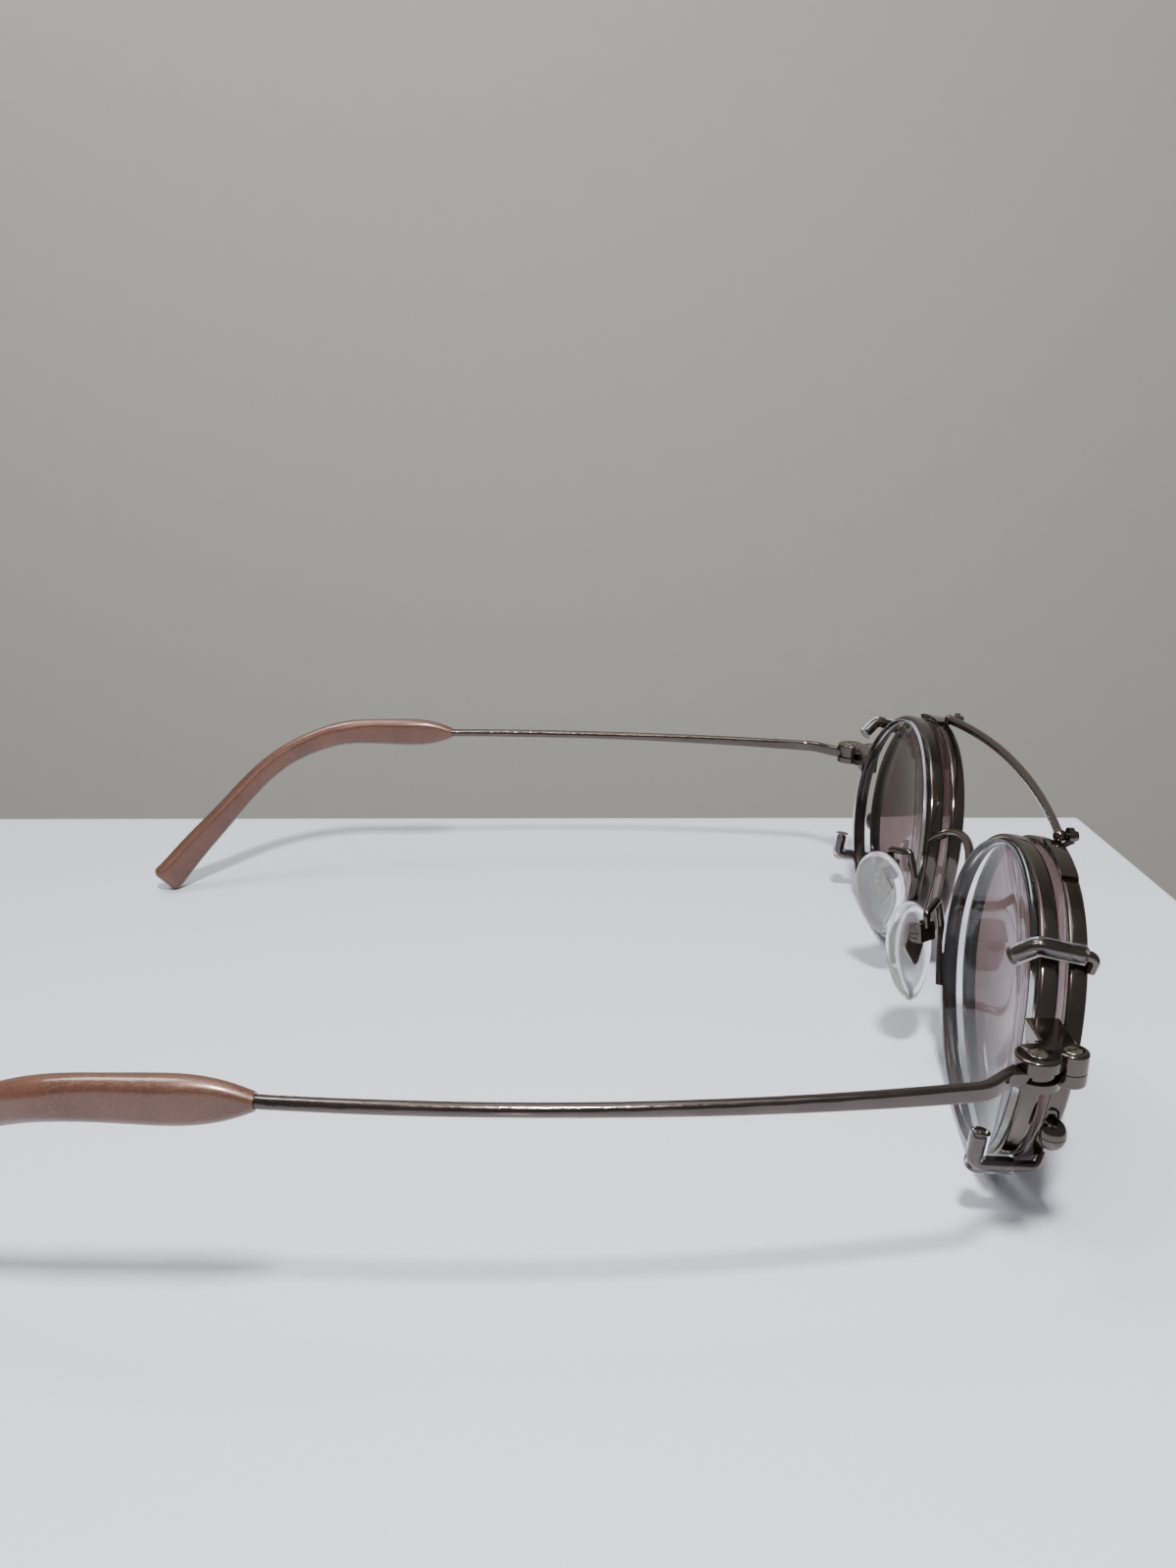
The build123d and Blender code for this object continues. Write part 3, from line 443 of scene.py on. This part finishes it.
def spread(tree, value, low, high, start=0.3, end=0.7):
    """Value stretched to a new range."""
    node = tree.nodes.new("ShaderNodeMapRange")
    node.inputs["From Min"].default_value = start
    node.inputs["From Max"].default_value = end
    node.inputs["To Min"].default_value = low
    node.inputs["To Max"].default_value = high
    tree.links.new(value, node.inputs["Value"])
    return node.outputs["Result"]


def blended_colour(tree, value, first, second):
    node = tree.nodes.new("ShaderNodeMix")
    node.data_type = "RGBA"
    node.inputs["A"].default_value = (*first, 1)
    node.inputs["B"].default_value = (*second, 1)
    tree.links.new(value, node.inputs["Factor"])
    return node.outputs["Result"]


def bump(tree, shader, value, strength, distance):
    node = tree.nodes.new("ShaderNodeBump")
    node.inputs["Strength"].default_value = strength
    node.inputs["Distance"].default_value = distance
    tree.links.new(value, node.inputs["Height"])
    tree.links.new(node.outputs["Normal"], shader.inputs["Normal"])


def bronze_plating(colours):
    """The one plating that all dark metal shares."""
    if PLATING in bpy.data.materials:
        return bpy.data.materials[PLATING]
    material, tree, shader, where = new_finish(PLATING)
    shader.inputs["Metallic"].default_value = 0.95
    shader.inputs["Specular Tint"].default_value = (0.55, 0.48, 0.44, 1)
    shader.inputs["Coat Weight"].default_value = 0.8
    shader.inputs["Coat Roughness"].default_value = 0.04
    patches = noise(tree, where, 180, 2)
    colour = blended_colour(tree, spread(tree, patches, 0, 1), colours.bronze, colours.bronze_light)
    tree.links.new(colour, shader.inputs["Base Color"])
    rub = noise(tree, where, 900, 4)
    tree.links.new(spread(tree, rub, 0.12, 0.19), shader.inputs["Roughness"])
    bump(tree, shader, noise(tree, where, 2400, 2), 0.02, 0.00003)
    return material


def screw_metal(name, colour, rough):
    material, tree, shader, where = new_finish(name)
    shader.inputs["Metallic"].default_value = 1.0
    darker = [part * 0.6 for part in colour]
    tree.links.new(
        blended_colour(tree, spread(tree, noise(tree, where, 1500), 0, 1), colour, darker),
        shader.inputs["Base Color"])
    tree.links.new(
        spread(tree, noise(tree, where, 2500), rough, rough + 0.15), shader.inputs["Roughness"])
    bump(tree, shader, noise(tree, where, 6000, 2), 0.12, 0.00004)
    return material


def tip_plastic(colours):
    material, tree, shader, where = new_finish("pearl_brown_plastic")
    shader.inputs["Metallic"].default_value = 0.35
    shader.inputs["Coat Weight"].default_value = 0.5
    shader.inputs["Coat Roughness"].default_value = 0.12
    shader.inputs["Subsurface Weight"].default_value = 0.05
    shader.inputs["Subsurface Scale"].default_value = 0.001
    light = [min(part * 1.75, 1) for part in colours.tip]
    grain = noise(tree, where, 5200, 4, (1, 0.5, 1))
    cloud = noise(tree, where, 160, 2)
    mottle = spread(tree, cloud, 0.0, 0.75)
    base = blended_colour(tree, mottle, colours.tip, light)
    flecks = tree.nodes.new("ShaderNodeMix")
    flecks.data_type = "RGBA"
    flecks.inputs["B"].default_value = (*[min(part * 2.3, 1) for part in colours.tip], 1)
    tree.links.new(spread(tree, grain, 0, 0.55, 0.45, 0.75), flecks.inputs["Factor"])
    tree.links.new(base, flecks.inputs["A"])
    tree.links.new(flecks.outputs["Result"], shader.inputs["Base Color"])
    tree.links.new(spread(tree, grain, 0.3, 0.42), shader.inputs["Roughness"])
    bump(tree, shader, grain, 0.05, 0.00003)
    return material


def clear_stuff(name, colour, rough, index, cloudy=0.0, streaks=400):
    """Transparent plastic, silicone or lens stock."""
    material, tree, shader, where = new_finish(name)
    shader.inputs["Transmission Weight"].default_value = 1.0 - cloudy
    shader.inputs["IOR"].default_value = index
    faint = noise(tree, where, streaks, 2)
    paler = [min(part * 1.03, 1) for part in colour]
    tree.links.new(
        blended_colour(tree, spread(tree, faint, 0, 1), colour, paler), shader.inputs["Base Color"])
    tree.links.new(spread(tree, faint, rough, rough * 1.4 + 0.002), shader.inputs["Roughness"])
    return material


def stage_paint(name, colour, rough, grain):
    material, tree, shader, where = new_finish(name)
    speckle = noise(tree, where, grain, 5)
    paler = [min(part * 1.02, 1) for part in colour]
    tree.links.new(
        blended_colour(tree, spread(tree, speckle, 0, 1), colour, paler), shader.inputs["Base Color"])
    shader.inputs["Roughness"].default_value = rough
    return material


# ---- operators, one for each group of pieces ----
class FrontRims(bpy.types.Operator):
    """Domed metal rims of the frame and of the clip-on"""

    bl_idname = "spectacles.rims"
    bl_label = "Rims"

    def execute(self, context):
        sizes = context.scene.spectacle_sizes
        plating = bronze_plating(context.scene.spectacle_colours)
        for side, sign in SIDES:
            kinds = (
                ("rim", sizes.eye_half_width, sizes.eye_half_height, lens_plane()),
                ("clip_rim", sizes.clip_half_width, sizes.clip_half_height, clip_plane()),
            )
            for kind, half_width, half_height, plane in kinds:
                node = side + "_" + kind
                bm = rim_band(sizes, half_width, half_height, on_side(sign) @ plane)
                finished_object(bm, node, "_band", [plating])
        return {"FINISHED"}


class Lenses(bpy.types.Operator):
    """Clear lenses of the frame and tinted lenses of the clip-on"""

    bl_idname = "spectacles.lenses"
    bl_label = "Lenses"

    def execute(self, context):
        sizes = context.scene.spectacle_sizes
        colours = context.scene.spectacle_colours
        clear = clear_stuff("clear_lens_polished", (0.95, 0.955, 0.955), 0.0, COATED_LENS)
        clear_edge = clear_stuff("clear_lens_edge", (0.45, 0.46, 0.47), 0.12, 1.25)
        tinted = clear_stuff("tinted_lens_polished", tuple(colours.tint), 0.01, COATED_LENS)
        deeper_tint = tuple(part * 0.6 for part in colours.tint)
        tinted_edge = clear_stuff("tinted_lens_edge", deeper_tint, 0.12, 1.25)
        for side, sign in SIDES:
            kinds = (
                ("demo_lens", sizes.eye_half_width, sizes.eye_half_height, lens_plane(),
                 *DEMO_LENS_FACES, [clear, clear_edge]),
                ("tinted_lens", sizes.clip_half_width, sizes.clip_half_height, clip_plane(),
                 *TINTED_LENS_FACES, [tinted, tinted_edge]),
            )
            for kind, half_width, half_height, plane, back, front, finishes in kinds:
                node = side + "_" + kind
                inset = sizes.rim_thickness - 0.01
                bm = lens_body(
                    sizes, half_width - inset, half_height - inset, back, front, on_side(sign) @ plane)
                finished_object(bm, node, "_body", finishes)
        return {"FINISHED"}


class Metalwork(bpy.types.Operator):
    """Plates, wires, hooks, bar, pins and screws"""

    bl_idname = "spectacles.metalwork"
    bl_label = "Metalwork"

    def execute(self, context):
        colours = context.scene.spectacle_colours
        groups = (
            (DARK_METAL, bronze_plating(colours)),
            (BRIGHT_SCREWS, screw_metal("hinge_screw_metal", tuple(colours.screw), 0.25)),
            (SMALL_SCREWS, screw_metal("small_screw_metal", (0.12, 0.10, 0.09), 0.25)),
            (PAD_INSERTS, screw_metal("pad_insert_metal", (0.26, 0.24, 0.21), 0.3)),
        )
        for nodes, finish in groups:
            for node in nodes:
                finished_object(smooth_skin(node), node, "_skin", [finish])
        return {"FINISHED"}


class NosePads(bpy.types.Operator):
    """Clear silicone nose pads"""

    bl_idname = "spectacles.nose_pads"
    bl_label = "Nose pads"

    def execute(self, context):
        silicone = clear_stuff("pad_silicone", (0.93, 0.94, 0.95), 0.08, 1.4, 0.08)
        for side, sign in SIDES:
            node = side + "_nose_pad"
            bm = teardrop_pad(on_side(sign) @ pad_plane())
            finished_object(bm, node, "_drop", [silicone])
        return {"FINISHED"}


class HookSleeves(bpy.types.Operator):
    """Clear sleeves over the ends of the clip hooks"""

    bl_idname = "spectacles.sleeves"
    bl_label = "Hook sleeves"

    def execute(self, context):
        sizes = context.scene.spectacle_sizes
        silicone = clear_stuff("sleeve_silicone", (0.93, 0.935, 0.94), 0.03, 1.4)
        routes = (("_upper_sleeve", upper_sleeve_route), ("_lower_sleeve", lower_sleeve_route))
        for side, sign in SIDES:
            for kind, route in routes:
                node = side + kind
                bm = soft_rod(route(sizes), SLEEVE_RADIUS, on_side(sign))
                finished_object(bm, node, "_tube", [silicone])
        return {"FINISHED"}


class ClosingBlocks(bpy.types.Operator):
    """Egg-shaped blocks that close the clip rims"""

    bl_idname = "spectacles.closing_blocks"
    bl_label = "Closing blocks"

    def execute(self, context):
        sizes = context.scene.spectacle_sizes
        plating = bronze_plating(context.scene.spectacle_colours)
        seam = clip_plane() @ oval_point(sizes.clip_half_width, sizes.clip_half_height, 348, 1.25, 0.45)
        for side, sign in SIDES:
            node = side + "_clip_lock"
            bm = closing_egg(on_side(sign) @ Matrix.Translation(seam))
            finished_object(bm, node, "_egg", [plating])
        return {"FINISHED"}


class TempleTips(bpy.types.Operator):
    """Brown plastic tips on the temple wires"""

    bl_idname = "spectacles.tips"
    bl_label = "Temple tips"

    def execute(self, context):
        plastic = tip_plastic(context.scene.spectacle_colours)
        for node in TIPS:
            finished_object(smooth_skin(node, radians(50)), node, "_shell", [plastic])
        return {"FINISHED"}


class Stage(bpy.types.Operator):
    """Table top, wall, soft lights and the camera"""

    bl_idname = "spectacles.stage"
    bl_label = "Table, lights and camera"

    def execute(self, context):
        colours = context.scene.spectacle_colours
        self.table(stage_paint("table_top", tuple(colours.table), 0.42, 900))
        self.wall(stage_paint("wall_paint", tuple(colours.wall), 0.9, 60))
        self.lights()
        self.camera(context.scene)
        return {"FINISHED"}

    def table(self, paint):
        """Slab whose far and right edges run a little askew."""
        bm = bmesh.new()
        face = bm.faces.new([bm.verts.new((x, y, 0)) for x, y in TABLE_CORNERS])
        slab = bmesh.ops.extrude_face_region(bm, geom=[face], use_keep_orig=True)
        low = [v for v in slab["geom"] if isinstance(v, bmesh.types.BMVert)]
        bmesh.ops.translate(bm, verts=low, vec=(0, 0, -TABLE_THICKNESS))
        bmesh.ops.recalc_face_normals(bm, faces=bm.faces)
        rounded(bm, list(bm.edges), 0.0012, 3)
        self.stage_object(bm, "table_slab", paint)

    def wall(self, paint):
        bm = bmesh.new()
        bmesh.ops.create_grid(bm, x_segments=1, y_segments=1, size=3)
        bmesh.ops.rotate(bm, cent=(0, 0, 0), matrix=Matrix.Rotation(pi / 2, 3, "Y"), verts=bm.verts)
        bmesh.ops.translate(bm, verts=bm.verts, vec=(WALL_DISTANCE, 0, 0.5))
        self.stage_object(bm, "wall_panel", paint)

    def stage_object(self, bm, name, paint):
        mesh = bpy.data.meshes.new(name)
        bm.to_mesh(mesh)
        bm.free()
        mesh.materials.append(paint)
        thing = bpy.data.objects.new(name, mesh)
        bpy.context.scene.collection.objects.link(thing)

    def lights(self):
        world = bpy.data.worlds.new("room")
        world.use_nodes = True
        background = world.node_tree.nodes["Background"]
        background.inputs["Color"].default_value = (0.93, 0.96, 1.0, 1)
        background.inputs["Strength"].default_value = 0.30
        bpy.context.scene.world = world
        lamps = (  # name, place, target, size, power, colour
            ("key_light", (-0.231, -0.033, 0.4125), (0, 0, 0.02), 0.05, 4.6,
             (1.0, 0.98, 0.95)),
            ("ceiling_light", (0.1, 0.05, 1.1), (0, 0, 0), 0.8, 4.5, (0.96, 0.98, 1.0)),
            ("wall_light", (0.2, 0.5, 1.3), (WALL_DISTANCE, -0.1, 0.35), 0.5, 12.0,
             (1.0, 0.98, 0.95)),
        )
        for name, place, target, size, power, colour in lamps:
            lamp = bpy.data.lights.new(name, "AREA")
            lamp.shape = "SQUARE"
            lamp.size = size
            lamp.energy = power
            lamp.color = colour
            thing = bpy.data.objects.new(name, lamp)
            thing.location = place
            aim = Vector(target) - Vector(place)
            thing.rotation_euler = aim.to_track_quat("-Z", "Y").to_euler()
            bpy.context.scene.collection.objects.link(thing)

    def camera(self, scene):
        data = bpy.data.cameras.new("photo_camera")
        data.sensor_width = 36
        data.lens = 30.24
        data.clip_start = 0.005
        data.clip_end = 20
        thing = bpy.data.objects.new("photo_camera", data)
        place = resting_place()
        thing.location = place @ Vector(CAMERA_PLACE)
        turn = Euler([radians(angle) for angle in CAMERA_TURN]).to_matrix()
        thing.rotation_euler = (place.to_3x3().normalized() @ turn).to_euler()
        scene.collection.objects.link(thing)
        scene.camera = thing


class SpectaclePanel(bpy.types.Panel):
    """Lists the pieces that can be built"""

    bl_label = "Spectacles"
    bl_idname = "VIEW3D_PT_spectacles"
    bl_space_type = "VIEW_3D"
    bl_region_type = "UI"
    bl_category = "Spectacles"

    def draw(self, context):
        layout = self.layout
        for group in (context.scene.spectacle_sizes, context.scene.spectacle_colours):
            for key in group.__annotations__:
                layout.prop(group, key)
        for operator in OPERATORS:
            layout.operator(operator.bl_idname)


OPERATORS = (FrontRims, Lenses, Metalwork, ClosingBlocks, NosePads, HookSleeves, TempleTips, Stage)
CLASSES = (SpectacleSizes, SpectacleColours) + OPERATORS + (SpectaclePanel,)


def register():
    for cls in CLASSES:
        bpy.utils.register_class(cls)
    bpy.types.Scene.spectacle_sizes = bpy.props.PointerProperty(type=SpectacleSizes)
    bpy.types.Scene.spectacle_colours = bpy.props.PointerProperty(type=SpectacleColours)


def unregister():
    del bpy.types.Scene.spectacle_colours
    del bpy.types.Scene.spectacle_sizes
    for cls in reversed(CLASSES):
        bpy.utils.unregister_class(cls)


def main():
    register()
    bpy.ops.spectacles.rims()
    bpy.ops.spectacles.lenses()
    bpy.ops.spectacles.metalwork()
    bpy.ops.spectacles.closing_blocks()
    bpy.ops.spectacles.nose_pads()
    bpy.ops.spectacles.sleeves()
    bpy.ops.spectacles.tips()
    bpy.ops.spectacles.stage()


if __name__ == "__main__":
    main()
